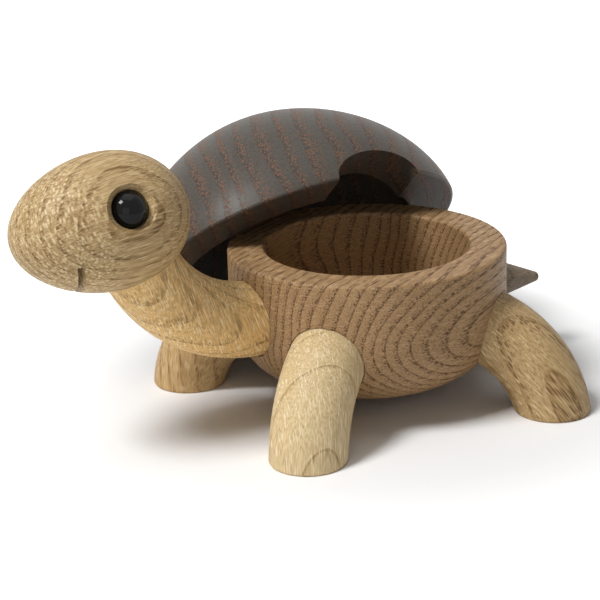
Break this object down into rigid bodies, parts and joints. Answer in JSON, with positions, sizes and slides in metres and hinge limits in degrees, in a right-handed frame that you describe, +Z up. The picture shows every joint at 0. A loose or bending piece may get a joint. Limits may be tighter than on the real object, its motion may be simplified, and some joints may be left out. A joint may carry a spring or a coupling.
{
  "type": "wooden turtle box",
  "caption": "Wooden turtle figurine that is a small box: a turned bowl body on bent rod legs, an egg head on a bent neck, a cone tail and a loose domed shell lid leaning open.",
  "frame": {"origin": "point on the table straight below the middle of the bowl", "axes": "+Z up, -Y towards the head, +X towards the turtle's left side; the shell leans open on the -X side"},
  "size_m": [0.1281, 0.1574, 0.078],
  "materials": {
    "light_oak": "oiled",
    "bowl_oak": "oiled",
    "shell_oak": "smoked and oiled",
    "tail_oak": "oiled",
    "dowel_wood": "plain",
    "eye_black": "polished"
  },
  "bodies": {
    "body": {"bowl": "bowl_oak", "neck": "light_oak", "head_dowel": "dowel_wood", "front_leg_left": "light_oak", "front_leg_right": "light_oak", "rear_leg_left": "light_oak", "rear_leg_right": "light_oak", "tail": "tail_oak"},
    "head": {"head": "light_oak", "eye_left": "eye_black", "eye_right": "eye_black"},
    "shell": {"shell": "shell_oak"}
  },
  "joints": [
    {"name": "head_turn", "type": "hinge", "parent": "body", "child": "head", "pos_m": [0, -0.07052, 0.05446], "axis": [0, -0.5, 0.866], "range_deg": [-30, 30]},
    {"name": "shell_lift", "type": "slide", "parent": "body", "child": "shell", "axis": [0, 0, 1], "range_m": [0, 0.06]}
  ]
}
